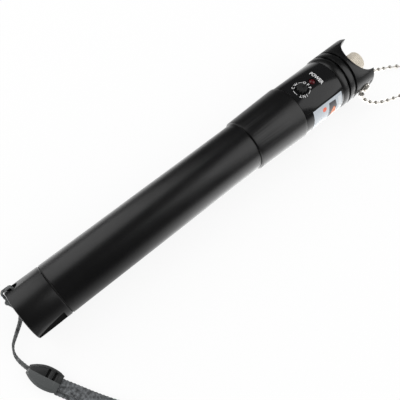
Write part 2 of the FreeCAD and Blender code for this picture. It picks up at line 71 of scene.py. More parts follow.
tube_rear, tube_front = span("battery_tube")
seal_rear, seal_front = span("tail_seal")
head_rear = span("head_housing")[0]
crown_front = span("crown")[1]
barrel_front = span("adapter_body")[1]
cap_rear, cap_front = span("dust_cap")
ring_rear, ring_front = span("cap_ring")
tube_r = (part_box("tail_cap")[1].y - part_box("tail_cap")[0].y) / 2 / MM
film_r = (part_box("control_film")[1].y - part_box("control_film")[0].y) / 2 / MM
crown_r = (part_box("head_housing")[1].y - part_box("head_housing")[0].y) / 2 / MM
cap_r = (cap_high.y - cap_low.y) / 2 / MM
knob_low, knob_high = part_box("switch_knob")
knob_x = ((knob_low.x + knob_high.x) / 2 - tail_end) / MM


def at(x, side, up):
    """A place in the frame from millimetres along, beside and above the tool's axis."""
    return Vector((tail_end + x * MM, axis_y + side * MM, axis_z + up * MM))


def on_round(x, radius, angle):
    """A place round the axis: angle in degrees from the knob towards the screw."""
    turn = math.radians(angle)
    return at(x, -radius * math.sin(turn), radius * math.cos(turn))


def from_tail(points):
    """Millimetres from the tail's end, the axis and the floor, to the frame."""
    return [Vector((tail_end + x * MM, axis_y + y * MM, z * MM)) for x, y, z in points]


def from_head(points):
    """Millimetres from the dust cap's end, the axis and the floor, to the frame."""
    return [Vector((head_end + x * MM, axis_y + y * MM, z * MM)) for x, y, z in points]


# ---- camera, lamps and floor ----

CAMERA_STAND = (23.038, -83.846, 209.903)       # millimetres from the axis at the tail's end
CAMERA_AZIMUTH, CAMERA_ELEVATION, CAMERA_ROLL = 40.131, 64.622, -0.422
CAMERA_LENS = 47.352

# name, place, width, length and power of each softbox, all aimed at the origin
SOFTBOXES = (("head_softbox", (0.65, -0.60, 0.67), 0.9, 1.4, 4.4),
             ("tail_softbox", (-0.24, 0.66, 0.61), 0.8, 1.1, 2.8))

# painted reflection: the floor's brightness in mirror rays is set by place and not by the lamps
GLOW_REACH = 0.129         # the paper's mirrored glow is 1 at this distance, less the spread
GLOW_SPREAD = 0.030
# from and to, in metres from the tail's end, and the share of the painted reflection at each
GLOW_SCREW_SIDE = (0.030, 0.115, 0.25, 1.0)
GLOW_FAR_SIDE = (0.100, 0.145, 0.95, 0.5)
GLOW_BEYOND = (0.205, 0.225, 1.0, 0.4)
WHITE = (1, 1, 1, 1)
PAPER = (0.86, 0.86, 0.86, 1)
PAPER_SEEN = 0.88          # share of plain white in what the camera sees of the floor
STUDIO_LIGHT = 0.8
STUDIO_MIRRORED = 0.03


def make_camera():
    data = bpy.data.cameras.new("camera")
    data.lens = CAMERA_LENS
    data.sensor_width = 36.0
    camera = bpy.data.objects.new("camera", data)
    bpy.context.scene.collection.objects.link(camera)
    azimuth = math.radians(CAMERA_AZIMUTH)
    elevation = math.radians(CAMERA_ELEVATION)
    roll = math.radians(CAMERA_ROLL)
    aim = Vector((math.sin(azimuth) * math.cos(elevation), math.cos(azimuth) * math.cos(elevation),
                  -math.sin(elevation)))
    camera.location = at(*CAMERA_STAND)
    camera.rotation_mode = "QUATERNION"
    camera.rotation_quaternion = aim.to_track_quat("-Z", "Y") @ Quaternion((0, 0, 1), roll)
    bpy.context.scene.camera = camera


def add_softbox(name, place, width, length, power):
    data = bpy.data.lights.new(name, "AREA")
    data.shape = "RECTANGLE"
    data.size = width
    data.size_y = length
    data.energy = power
    lamp = bpy.data.objects.new(name, data)
    lamp.location = place
    lamp.rotation_mode = "QUATERNION"
    lamp.rotation_quaternion = (-Vector(place)).to_track_quat("-Z", "Y")
    bpy.context.scene.collection.objects.link(lamp)


def shown_as(tree, lit, sort, camera_share, mirrored):
    """The lit shader, mixed with plain white for rays that see it directly, and of another
    brightness for rays that see it mirrored: a number, or a node's output."""
    nodes, links = tree.nodes, tree.links
    path = nodes.new("ShaderNodeLightPath")
    share = calculated(tree, "MULTIPLY", path.outputs["Is Camera Ray"], camera_share)
    shader = lit
    for amount, strength in ((share, 1.0), (path.outputs["Is Glossy Ray"], mirrored)):
        plain = nodes.new(sort)
        plain.inputs["Color"].default_value = WHITE
        feed(links, plain.inputs["Strength"], strength)
        mix = nodes.new("ShaderNodeMixShader")
        links.new(amount, mix.inputs[0])
        links.new(shader.outputs[0], mix.inputs[1])
        links.new(plain.outputs[0], mix.inputs[2])
        shader = mix
    return shader


def feed(links, socket, value):
    """Sets a socket to a number, or links a node's output to it."""
    if isinstance(value, (int, float)):
        socket.default_value = value
    else:
        links.new(value, socket)


def calculated(tree, operation, *values):
    node = tree.nodes.new("ShaderNodeMath")
    node.operation = operation
    for socket, value in zip(node.inputs, values):
        feed(tree.links, socket, value)
    return node.outputs[0]


def ramped(tree, value, start, stop, low, high):
    """Carries a value from one range to another, held at both ends."""
    node = tree.nodes.new("ShaderNodeMapRange")
    node.interpolation_type = "SMOOTHSTEP"
    for socket, part in zip(node.inputs, (value, start, stop, low, high)):
        feed(tree.links, socket, part)
    return node.outputs[0]


def own_place(tree):
    """The three coordinates of a point on the piece, as node outputs."""
    where = tree.nodes.new("ShaderNodeTexCoord")
    split = tree.nodes.new("ShaderNodeSeparateXYZ")
    tree.links.new(where.outputs["Object"], split.inputs[0])
    return split.outputs


def painted_floor_reflection(tree):
    """A painted reflection: how bright the paper looks when mirrored in the tool, set by place:
    brightest close beside it, weaker near the tail on the screw's side, where it paints the tool's
    shadow, weaker beyond the crown on that side, and along the head on the other."""
    x, y = own_place(tree)[:2]
    beside = calculated(tree, "SUBTRACT", y, axis_y)
    away = calculated(tree, "ADD", calculated(tree, "ABSOLUTE", beside), GLOW_SPREAD)
    glow = calculated(tree, "DIVIDE", GLOW_REACH, away)
    screw_side, far_side, beyond = [
        ramped(tree, x, tail_end + start, tail_end + stop, first, last)
        for start, stop, first, last in (GLOW_SCREW_SIDE, GLOW_FAR_SIDE, GLOW_BEYOND)]
    on_far = calculated(tree, "GREATER_THAN", beside, 0.0)
    near_share = calculated(tree, "MULTIPLY", calculated(tree, "MULTIPLY", screw_side, beyond),
                            calculated(tree, "SUBTRACT", 1.0, on_far))
    far_share = calculated(tree, "MULTIPLY", far_side, on_far)
    share = calculated(tree, "ADD", near_share, far_share)
    return calculated(tree, "MULTIPLY", glow, share)


def make_stage():
    scene = bpy.context.scene
    scene.view_settings.view_transform = "Standard"
    world = bpy.data.worlds.new("studio")
    scene.world = world
    world.use_nodes = True
    tree = world.node_tree
    tree.nodes.clear()
    soft = tree.nodes.new("ShaderNodeBackground")
    soft.inputs["Color"].default_value = WHITE
    soft.inputs["Strength"].default_value = STUDIO_LIGHT
    out = tree.nodes.new("ShaderNodeOutputWorld")
    seen = shown_as(tree, soft, "ShaderNodeBackground", 1.0, STUDIO_MIRRORED)
    tree.links.new(seen.outputs[0], out.inputs["Surface"])

    paper = bpy.data.materials.new("pale_floor")
    paper.use_nodes = True
    tree = paper.node_tree
    tree.nodes.clear()
    matte = tree.nodes.new("ShaderNodeBsdfDiffuse")
    matte.inputs["Color"].default_value = PAPER
    out = tree.nodes.new("ShaderNodeOutputMaterial")
    # mirror rays see the painted reflection in place of the lit paper
    seen = shown_as(tree, matte, "ShaderNodeEmission", PAPER_SEEN, painted_floor_reflection(tree))
    tree.links.new(seen.outputs[0], out.inputs["Surface"])
    bm = bmesh.new()
    bmesh.ops.create_grid(bm, x_segments=1, y_segments=1, size=1.5)
    bmesh.ops.translate(bm, verts=bm.verts, vec=(0, 0, -0.1 * MM))
    finish_mesh(bm, "floor", paper)
    for softbox in SOFTBOXES:
        add_softbox(*softbox)


# ---- finishes ----

def finish(name, colour, metallic, roughness, **sockets):
    """A Principled finish; pattern(), relief() and vary() add its fine surface."""
    material = bpy.data.materials.new(name)
    material.use_nodes = True
    shader = material.node_tree.nodes["Principled BSDF"]
    shader.inputs["Base Color"].default_value = (*colour, 1)
    shader.inputs["Metallic"].default_value = metallic
    shader.inputs["Roughness"].default_value = roughness
    for socket, value in sockets.items():
        shader.inputs[socket.replace("_", " ")].default_value = value
    return material


def pattern(material, kind, scale, stretch=(1, 1, 1), coordinates="Object", **settings):
    """A noise, wave or voronoi texture on the piece's own coordinates."""
    nodes, links = material.node_tree.nodes, material.node_tree.links
    where = nodes.new("ShaderNodeTexCoord")
    mapping = nodes.new("ShaderNodeMapping")
    mapping.inputs["Scale"].default_value = stretch
    texture = nodes.new(kind)
    texture.inputs["Scale"].default_value = scale
    for socket, value in settings.items():
        texture.inputs[socket].default_value = value
    links.new(where.outputs[coordinates], mapping.inputs["Vector"])
    links.new(mapping.outputs["Vector"], texture.inputs["Vector"])
    return texture


def relief(material, texture, distance, strength, output=0):
    """Adds the texture as fine relief, on top of any relief already there."""
    nodes, links = material.node_tree.nodes, material.node_tree.links
    shader = nodes["Principled BSDF"]
    bump = nodes.new("ShaderNodeBump")
    bump.inputs["Distance"].default_value = distance
    bump.inputs["Strength"].default_value = strength
    before = shader.inputs["Normal"].links
    if before:
        links.new(before[0].from_socket, bump.inputs["Normal"])
    links.new(texture.outputs[output], bump.inputs["Height"])
    links.new(bump.outputs["Normal"], shader.inputs["Normal"])


def vary(material, texture, socket, low, high, output=0):
    """Lets the texture move a socket between two values or colours."""
    nodes, links = material.node_tree.nodes, material.node_tree.links
    shader = nodes["Principled BSDF"]
    ramp = nodes.new("ShaderNodeValToRGB")
    ramp.color_ramp.elements[0].position = 0.3
    ramp.color_ramp.elements[1].position = 0.7
    for element, value in zip(ramp.color_ramp.elements, (low, high)):
        element.color = (*value, 1) if hasattr(value, "__len__") else (value, value, value, 1)
    links.new(texture.outputs[output], ramp.inputs["Fac"])
    links.new(ramp.outputs["Color"], shader.inputs[socket])


def anodised_black():
    """Satin black: bead-blasted grain under faint turning lines, with soft handling marks."""
    material = finish("black_anodised", (0.004, 0.004, 0.0043), 0.0, 0.34, Specular_IOR_Level=0.75)
    grain = pattern(material, "ShaderNodeTexNoise", 9000, Detail=2.0)
    relief(material, grain, 0.00002, 0.35)
    rings = pattern(material, "ShaderNodeTexNoise", 900, stretch=(9, 0.15, 0.15), Detail=1.0)
    relief(material, rings, 0.00001, 0.25)
    marks = pattern(material, "ShaderNodeTexNoise", 60, Detail=4.0, Roughness=0.6)
    vary(material, marks, "Roughness", 0.3, 0.38)
    return material


def glossy_film():
    """Printed polyester film: deep black, nearly mirror smooth, with a faint waviness."""
    material = finish("black_film", (0.008, 0.008, 0.0085), 0.0, 0.14)
    waviness = pattern(material, "ShaderNodeTexNoise", 120, Detail=1.0)
    relief(material, waviness, 0.0001, 0.12)
    dust = pattern(material, "ShaderNodeTexNoise", 2500, Detail=3.0)
    vary(material, dust, "Roughness", 0.12, 0.2)
    return material


def nickel(name, colour, roughness, metallic=1.0):
    material = finish(name, colour, metallic, roughness)
    grain = pattern(material, "ShaderNodeTexNoise", 2600, Detail=3.0)
    relief(material, grain, 0.00002, 0.3)
    tarnish = pattern(material, "ShaderNodeTexNoise", 350, Detail=4.0)
    vary(material, tarnish, "Base Color", [0.88 * part for part in colour], colour)
    return material


KNURL_RIDGES = 44.0
KNURL_DEPTH = 0.35         # how far in from the cap's flank the knurl reaches


def knurled(name, colour, roughness, metallic):
    """Straight knurl: fine ridges along the tool, cut all round its axis, with painted shade
    darkening the base colour in the grooves.
    """
    material = nickel(name, colour, roughness, metallic)
    tree = material.node_tree
    y, z = own_place(tree)[1:]
    beside = calculated(tree, "SUBTRACT", y, axis_y)
    above = calculated(tree, "SUBTRACT", z, axis_z)
    turn = calculated(tree, "ARCTAN2", beside, above)
    square = calculated(tree, "ADD", calculated(tree, "MULTIPLY", beside, beside),
                        calculated(tree, "MULTIPLY", above, above))
    on_flank = calculated(tree, "GREATER_THAN", square, ((cap_r - KNURL_DEPTH) * MM) ** 2)
    wave = calculated(tree, "SINE", calculated(tree, "MULTIPLY", turn, KNURL_RIDGES))
    ridge = calculated(tree, "MULTIPLY", on_flank, wave)
    groove = ramped(tree, ridge, -1.0, 0.2, 0.55, 0.0)
    # painted shade: the grooves multiply the base colour darker
    groove_painted_shade = tree.nodes.new("ShaderNodeMix")
    groove_painted_shade.data_type = "RGBA"
    groove_painted_shade.blend_type = "MULTIPLY"
    groove_painted_shade.inputs[7].default_value = (0.35, 0.32, 0.28, 1)
    bump = tree.nodes.new("ShaderNodeBump")
    bump.inputs["Distance"].default_value = 0.00006
    bump.inputs["Strength"].default_value = 0.8
    shader = tree.nodes["Principled BSDF"]
    tree.links.new(groove, groove_painted_shade.inputs[0])
    tree.links.new(shader.inputs["Base Color"].links[0].from_socket, groove_painted_shade.inputs[6])
    tree.links.new(groove_painted_shade.outputs[2], shader.inputs["Base Color"])
    tree.links.new(shader.inputs["Normal"].links[0].from_socket, bump.inputs["Normal"])
    tree.links.new(ridge, bump.inputs["Height"])
    tree.links.new(bump.outputs["Normal"], shader.inputs["Normal"])
    return material


def moulded(name, colour, roughness, texture_scale=3500):
    material = finish(name, colour, 0.0, roughness)
    skin = pattern(material, "ShaderNodeTexNoise", texture_scale, Detail=2.0)
    relief(material, skin, 0.00003, 0.3)
    marks = pattern(material, "ShaderNodeTexNoise", 180, Detail=3.0)
    vary(material, marks, "Roughness", roughness - 0.05, roughness + 0.07)
    return material


def braided(name, colour, along, around):
    """Twisted yarn on a cord: fine threads that run slantwise on the piece's own map."""
    material = finish(name, colour, 0.0, 0.8, Sheen_Weight=0.3, Sheen_Roughness=0.5)
    yarn = pattern(material, "ShaderNodeTexWave", 1.0, stretch=(around, along, 1),
                   coordinates="UV", Distortion=1.5, Detail=2.0)
    yarn.wave_type = "BANDS"
    yarn.bands_direction = "DIAGONAL"
    relief(material, yarn, 0.00012, 0.9)
    shade = pattern(material, "ShaderNodeTexNoise", 750, Detail=3.0)
    vary(material, shade, "Base Color", [0.3 * part for part in colour],
         [2.2 * part for part in colour])
    return material


# ---- mesh helpers ----

HARD_EDGE = 30.0           # degrees: sharper edges are eased
FLAT_ENOUGH = 0.6          # degrees: flatter triangles become one face


def finish_mesh(bm, name, material, sharp_angle=35.0):
    """Turns a bmesh in frame coordinates into a linked, smooth-shaded object."""
    bmesh.ops.remove_doubles(bm, verts=bm.verts, dist=1e-7)
    bmesh.ops.recalc_face_normals(bm, faces=bm.faces)
    mesh = bpy.data.meshes.new(name)
    bm.to_mesh(mesh)
    bm.free()
    mesh.materials.append(material)
    mesh.shade_smooth()
    mesh.set_sharp_from_angle(angle=math.radians(sharp_angle))
    piece = bpy.data.objects.new(name, mesh)
    bpy.context.scene.collection.objects.link(piece)
    return piece


def put(piece, body, slot, *nodes):
    """The piece rides on its body and stands for the nodes, which it hides; slot is not used."""
    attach(piece, body)
    if nodes:
        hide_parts(*nodes)
    return piece


def turn_profile(bm, profile):
    """Spins a closed outline of (along, radius) corners in millimetres about the tool's axis."""
    corners = [bm.verts.new(at(x, 0, radius)) for x, radius in profile]
    edges = [bm.edges.new(pair) for pair in zip(corners, corners[1:] + corners[:1])]
    bmesh.ops.spin(bm, geom=corners + edges, cent=at(0, 0, 0), axis=(1, 0, 0),
                   dvec=(0, 0, 0), angle=2 * math.pi, steps=FINE, use_merge=True,
                   use_normal_flip=False, use_duplicate=False)


def soft_corners(profile, size, rounds=2):
    """The profile with each corner that is marked True cut back and rounded by size."""
    result = []
    count = len(profile)
    for index, (x, radius, soft) in enumerate(profile):
        if not soft:
            result.append((x, radius))
            continue
        here = Vector((x, radius))
        before = Vector(profile[index - 1][:2]) - here
        after = Vector(profile[(index + 1) % count][:2]) - here
        start = here + before.normalized() * size
        end = here + after.normalized() * size
        for step in range(rounds + 1):
            share = step / rounds
            bend = start.lerp(here, share).lerp(here.lerp(end, share), share)
            result.append(tuple(bend))
    return result


def turned(name, profile, material, soften=0.15, sharp_angle=35.0):
    bm = bmesh.new()
    turn_profile(bm, soft_corners(profile, soften))
    return finish_mesh(bm, name, material, sharp_angle)


def helix_ridge(bm, start_x, stop_x, root_r, height, pitch, steps):
    """A thread's ridge, wound on the axis and sunk a little into its root."""
    turns = (stop_x - start_x) / pitch - 1
    half = pitch * 0.36
    ridge = [bm.verts.new(at(start_x + half + dx, 0, r)) for dx, r in
             ((-half, root_r - 0.05), (-0.12 * pitch, root_r + height),
              (0.12 * pitch, root_r + height), (half, root_r - 0.05))]
    edges = [bm.edges.new(pair) for pair in zip(ridge, ridge[1:] + ridge[:1])]
    bm.faces.new(ridge)
    whole = int(turns * steps)
    made = bmesh.ops.spin(bm, geom=ridge + edges, cent=at(0, 0, 0), axis=(1, 0, 0),
                          dvec=(pitch * MM / steps, 0, 0), angle=2 * math.pi * whole / steps,
                          steps=whole, use_merge=False, use_normal_flip=False,
                          use_duplicate=False)
    last = [edge for edge in made["geom_last"] if isinstance(edge, bmesh.types.BMEdge)]
    bmesh.ops.contextual_create(bm, geom=last)


def dressed(node, material, edge):
    """The frame's own shape with its doubles merged and its hard edges eased."""
    bm = bmesh.new()
    bm.from_mesh(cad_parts[node].data)
    bmesh.ops.remove_doubles(bm, verts=bm.verts, dist=1e-6)
    bmesh.ops.dissolve_limit(bm, angle_limit=math.radians(FLAT_ENOUGH), verts=bm.verts,
                             edges=bm.edges,
                             use_dissolve_boundaries=False, delimit={"NORMAL"})
    if edge:
        hard = [e for e in bm.edges if len(e.link_faces) == 2
                and e.calc_face_angle(0) > math.radians(HARD_EDGE)]
        bmesh.ops.bevel(bm, geom=hard, offset=edge * MM, offset_type="OFFSET", segments=2,
                        profile=0.5, affect="EDGES", clamp_overlap=True, material=-1)
    return finish_mesh(bm, node + "_dressed", material)


def route_curve(name, points):
    """Open NURBS spline that has the route's points as its control points."""
    data = bpy.data.curves.new(name, "CURVE")
    data.dimensions = "3D"
    data.resolution_u = 12
    spline = data.splines.new("NURBS")
    spline.points.add(len(points) - 1)
    for control, point in zip(spline.points, points):
        control.co = (*point, 1)
    spline.order_u = 3
    spline.use_endpoint_u = True
    curve = bpy.data.objects.new(name, data)
    bpy.context.scene.collection.objects.link(curve)
    return curve


def spline_line(points):
    """The points of the route's smooth line, and its length in metres."""
    curve = route_curve("route", points)
    bpy.context.view_layer.update()
    mesh = bpy.data.meshes.new_from_object(curve)
    line = [vertex.co.copy() for vertex in mesh.vertices]
    bpy.data.meshes.remove(mesh)
    bpy.data.objects.remove(curve)
    length = sum((b - a).length for a, b in zip(line, line[1:]))
    return line, length


def spaced(line, count):
    """count points at equal distances along a line."""
    lengths = [0.0]
    for a, b in zip(line, line[1:]):
        lengths.append(lengths[-1] + (b - a).length)
    result = []
    index = 0
    for step in range(count):
        target = lengths[-1] * step / (count - 1)
        while index < len(line) - 2 and lengths[index + 1] < target:
            index += 1
        share = (target - lengths[index]) / max(lengths[index + 1] - lengths[index], 1e-12)
        result.append(line[index].lerp(line[index + 1], min(share, 1.0)))
    return result


def sweep(bm, stations, corners, shape, level=False):
    """Carries a ring of corners along the stations. shape(distance, corner) gives its place
    in millimetres beside and above the line; level keeps the ring's side horizontal."""
    up = Vector((0, 0, 1))
    travelled = 0.0
    ring = bmesh.ops.create_circle(bm, cap_ends=False, segments=corners, radius=MM)["verts"]
    edges = list({edge for vertex in ring for edge in vertex.link_edges})
    first = list(ring)
    uv = bm.loops.layers.uv.verify()
    for index, here in enumerate(stations):
        ahead = stations[min(index + 1, len(stations) - 1)]
        behind = stations[max(index - 1, 0)]
        heading = (ahead - behind).normalized()
        side = heading.cross(Vector((0, 0, 1)) if level else up).normalized()
        lift = side.cross(heading).normalized()
        if not level:
            up = lift
        if index:
            travelled += (here - stations[index - 1]).length
            made = bmesh.ops.extrude_edge_only(bm, edges=edges)["geom"]
            fresh = [g for g in made if isinstance(g, bmesh.types.BMVert)]
            edges = [g for g in made if isinstance(g, bmesh.types.BMEdge)
                     and all(v in fresh for v in g.verts)]
            partner = {}
            for vertex in fresh:
                for edge in vertex.link_edges:
                    other = edge.other_vert(vertex)
                    if other in ring:
                        partner[other] = vertex
            ring = [partner[vertex] for vertex in ring]
        for corner, vertex in enumerate(ring):
            beside, above = shape(travelled / MM, corner)
            vertex.co = here + side * (beside * MM) + lift * (above * MM)
        if index:
            for corner, vertex in enumerate(ring):
                for loop in vertex.link_loops:
                    loop[uv].uv = (corner / corners, travelled / MM)
    bmesh.ops.contextual_create(bm, geom=first)
    bmesh.ops.contextual_create(bm, geom=ring)
    return bm


def round_section(radius):
    """The section of a plain round wire, for sweep."""
    def place(distance, corner):
        turn = 2 * math.pi * corner / CORD_CORNERS
        return radius * math.cos(turn), radius * math.sin(turn)
    return place


# ---- pieces: turned body ----

GRIP_FLAT_DEPTH, GRIP_FLAT_LENGTH, GRIP_FLAT_ANGLE = 0.85, 13.6, 93
SPRING_TURNS = 4
SPRING_R, SPRING_WIRE_R = 4.5, 0.4


def build_tail(black, grip_flat_painted_shade, rubber, brass, steel):
    cap = dressed("tail_cap", black, 0.06)
    # painted shade: the grip flat takes a matte copy of the black without reflection, so it shows
    # darker than the anodised rest
    cap.data.materials.append(grip_flat_painted_shade)
    slope = math.atan2(GRIP_FLAT_DEPTH, GRIP_FLAT_LENGTH)
    facing = math.radians(GRIP_FLAT_ANGLE)
    out = Vector((math.sin(slope), -math.sin(facing) * math.cos(slope),
                  math.cos(facing) * math.cos(slope)))
    for face in cap.data.polygons:
        if face.normal.dot(out) > 0.9998:
            face.material_index = 1
    put(cap, "tail_end", "black_anodised", "tail_cap")
    seal_inner_r, seal_r = tube_r - 1.25, tube_r - 0.35
    seal = turned("tail_seal_ring", [
        (seal_rear, seal_inner_r, False), (seal_rear, seal_r, True),
        (seal_front, seal_r, True), (seal_front, seal_inner_r, False)], rubber, 0.1)
    put(seal, "root", "seal_rubber", "tail_seal")
    put(dressed("tail_contact", brass, 0.08), "tail_end", "brass", "tail_contact")
    rear, front = span("battery_spring")
    steps = SPRING_TURNS * COARSE
    rise = (front - rear - 2 * SPRING_WIRE_R) / steps
    coil = []
    for step in range(steps + 1):
        turn = 2 * math.pi * step / COARSE
        coil.append(at(rear + SPRING_WIRE_R + rise * step,
                       SPRING_R * math.cos(turn), SPRING_R * math.sin(turn)))
    bm = bmesh.new()
    sweep(bm, coil, CORD_CORNERS, round_section(SPRING_WIRE_R))
    put(finish_mesh(bm, "coil_spring", steel, 60), "tail_end", "nickel", "battery_spring")


TUBE_BORE_R = 7.5
TAIL_THREAD_DEPTH, TAIL_THREAD_LEAD_IN = 1.6, 0.6
TUBE_SPIGOT_STEP = 0.8     # the front end, inside the head
CELL_R, CELL_END_R, CELL_CAP_R = 7.1, 6.6, 2.7


def build_tube(black, jacket, brass, plastic):
    thread_r = tube_r - TAIL_THREAD_DEPTH
    front_r = tube_r - TUBE_SPIGOT_STEP
    thread_start = tube_rear + TAIL_THREAD_LEAD_IN
    tube = turned("battery_barrel", [
        (tube_rear, TUBE_BORE_R, False), (tube_rear, thread_r - 0.3, True),
        (thread_start, thread_r, False),
        (seal_front, thread_r, False), (seal_front, tube_r, True),
        (head_rear, tube_r, False), (head_rear, front_r, False),
        (tube_front, front_r, True), (tube_front, TUBE_BORE_R, False)], black, 0.3)
    put(tube, "root", "black_anodised", "battery_tube")
    bm = bmesh.new()
    helix_ridge(bm, thread_start, seal_front - 1.0, thread_r, height=0.28, pitch=0.9, steps=48)
    put(finish_mesh(bm, "tail_thread", black, 25), "root", "black_anodised")
    for number in (1, 2):
        node = "battery_cell_%d" % number
        rear, front = span(node)
        jacket_rear, shoulder = rear + 0.3, front - 1.3
        cell = turned("cell_%d" % number, [
            (rear, 0, False), (rear, CELL_END_R, False), (jacket_rear, 6.9, False),
            (jacket_rear, CELL_R, True), (shoulder, CELL_R, True), (shoulder, CELL_CAP_R, False),
            (front, CELL_CAP_R, True), (front, 0, False)], jacket, 0.2)
        put(cell, "root", "cell_jacket", node)
    put(dressed("front_contact", brass, 0.1), "root", "brass", "front_contact")
    put(dressed("contact_plug", plastic, 0.1), "root", "black_plastic", "contact_plug")


def build_head(black, film, plastic, knob_black, lamp_red, board, aluminium, brass, glass):
    put(dressed("head_housing", black, 0.1), "root", "black_anodised", "head_housing")
    put(dressed("control_film", film, 0.03), "root", "black_film", "control_film")
    put(dressed("switch_knob", knob_black, 0.1), "switch_knob", "knob_plastic", "switch_knob")
    put(dressed("switch_body", plastic, 0.1), "root", "black_plastic", "switch_body")
    put(dressed("lamp_spacer", plastic, 0.1), "root", "black_plastic", "lamp_spacer")
    put(dressed("circuit_board", board, 0.0), "root", "board_green", "circuit_board")
    put(dressed("power_lamp", lamp_red, 0.05), "root", "lamp_red", "power_lamp")
    put(dressed("module_holder", aluminium, 0.1), "root", "bare_aluminium", "module_holder")
    put(dressed("laser_module", brass, 0.1), "root", "brass", "laser_module")
    put(dressed("laser_lens", glass, 0.0), "root", "lens_glass", "laser_lens")


BARREL_THREAD_R = 3.95
DUST_CAP_BORE_R = 4.08
DUST_CAP_END = 2.6         # thickness of its closed end
DUST_CAP_ROUND = 0.5


def build_crown(black, steel, warm_nickel, ceramic, dark_steel):
    put(dressed("crown", black, 0.1), "root", "black_anodised", "crown")
    put(dressed("adapter_body", warm_nickel, 0.08), "root", "nickel", "adapter_body")
    put(dressed("ferrule_guide", dark_steel, 0.05), "root", "nickel", "ferrule_guide")
    put(dressed("split_sleeve", ceramic, 0.03), "root", "ceramic", "split_sleeve")
    put(dressed("lug_screw", steel, 0.1), "root", "nickel", "lug_screw")
    put(dressed("chain_tag", steel, 0.08), "root", "nickel", "chain_tag")
    bm = bmesh.new()
    helix_ridge(bm, cap_rear + 0.2, barrel_front - 0.2, BARREL_THREAD_R, height=0.1, pitch=0.5,
                steps=48)
    put(finish_mesh(bm, "barrel_thread", warm_nickel, 25), "root", "nickel")


def build_dust_cap(cream_nickel, steel):
    """Straight-knurled cap with a flat end, its loose ring in a groove near the root."""
    groove_rear, groove_front = ring_rear - 0.3, ring_front + 0.3
    groove_r = cap_r - 0.25
    floor = cap_front - DUST_CAP_END
    cap = turned("dust_cap_shell", [
        (cap_rear, DUST_CAP_BORE_R, False), (cap_rear, cap_r, True), (groove_rear, cap_r, True),
        (groove_rear, groove_r, False), (groove_front, groove_r, False),
        (groove_front, cap_r, True), (cap_front - DUST_CAP_ROUND, cap_r, False),
        (cap_front - 0.15, cap_r - 0.15, False), (cap_front, cap_r - DUST_CAP_ROUND, False),
        (cap_front, 0, False), (floor, 0, False), (floor, DUST_CAP_BORE_R, False)],
        cream_nickel, 0.12, 40)
    put(cap, "dust_cap", "dust_cap_nickel", "dust_cap")
    put(dressed("cap_ring", steel, 0.1), "cap_collar", "nickel", "cap_ring")


# ---- cords ----

CHAIN_ROUTE = [
    (-11.6, -17.2, 8.8), (-7.8, -19.6, 5.6), (-2.2, -22.2, 3.4), (5.8, -23.9, 1.5),
    (13.4, -26.3, 1.25), (21.4, -27, 1.25), (27.6, -23.5, 1.25), (28, -16, 1.25),
    (23.6, -11.2, 1.25), (17, -8.2, 1.7), (10.8, -7, 4.2), (3.8, -5.5, 6.3), (-4.6, -3.6, 7.7)]


BEAD_R, BEAD_PITCH, CHAIN_LINK_R = 1.15, 4.0, 0.3
TAG_EYE_BACK, TAG_EYE_OUT, TAG_EYE_ANGLE, TAG_EYE_DROP = 9.7, 1.6, 94, 1.1
RING_EYE_AHEAD, RING_EYE_R, RING_EYE_ANGLE = 0.2, 6.4, 152


def build_chain(steel):
    start = (on_round(crown_front - TAG_EYE_BACK, crown_r + TAG_EYE_OUT, TAG_EYE_ANGLE)
             - Vector((0, 0, TAG_EYE_DROP * MM)))
    end = on_round(ring_front + RING_EYE_AHEAD, RING_EYE_R, RING_EYE_ANGLE)
    line, length = spline_line([start] + from_head(CHAIN_ROUTE) + [end])
    count = round(length / (BEAD_PITCH * MM)) + 1
    places = spaced(line, count)
    bm = bmesh.new()
    for index, here in enumerate(places):
        ahead = places[min(index + 1, count - 1)] - places[max(index - 1, 0)]
        turn = ahead.to_track_quat("Z", "Y").to_matrix().to_4x4()
        bmesh.ops.create_uvsphere(bm, u_segments=14, v_segments=10, radius=BEAD_R * MM,
                                  matrix=Matrix.Translation(here) @ turn)
    for here, ahead in zip(places, places[1:]):
        link = ahead - here
        turn = link.to_track_quat("Z", "Y").to_matrix().to_4x4()
        middle = Matrix.Translation((here + ahead) / 2)
        bmesh.ops.create_cone(bm, cap_ends=True, segments=8, radius1=CHAIN_LINK_R * MM,
                              radius2=CHAIN_LINK_R * MM, depth=link.length, matrix=middle @ turn)
    chain = finish_mesh(bm, "bead_chain_links", steel, 60)
    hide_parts("bead_chain")
    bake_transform(chain)


PAIR_ROUTE = [
    (0.4, 3.4, 13.0), (-1.4, 1.2, 8.2), (-7.2, -1.6, 4.2), (-11.6, -4.6, 2.9),
    (-12.8, -10.4, 2.5), (-10.9, -16.2, 2.4)]

PAIR_TWIST = (0, 0, 15, 55, 100, 150, 180)

STRAP_ROUTE = [
    (-5.2, -28.4, 2.1), (-1.6, -34.8, 2.1), (3.1, -43.4, 2.1), (9.4, -53.5, 2.05),
    (19.6, -66, 1.15), (36, -78, 0.65), (47.5, -90, 0.65), (39, -102, 0.65),
    (20, -103.5, 0.65), (0, -101.5, 0.65), (-10, -87, 0.65), (-8, -68, 0.65),
    (1.4, -45.4, 0.65), (-3.2, -35.6, 0.65), (-6.8, -29.2, 0.65)]

STRAND_R = 0.45
KNOT_R = 1.15
STRAP_HALF_W = 2.45
STRAP_STITCH = 1.6         # along the strap
HITCH_ANGLE = -46
HITCH_LOW, HITCH_HIGH = 7.8, 12.8       # from the axis
HITCH_BACK, HITCH_AHEAD = -0.8, 3.7     # from the tail's end
HITCH_START, HITCH_STOP = 1.4, 1.2      # where a turn starts and ends, under the cap's wall
HITCH_BEND_R = 1.0
CLIP_HEADING = -65.2
CLIP_RIDGE_OFF = 0.3       # from the clip's middle


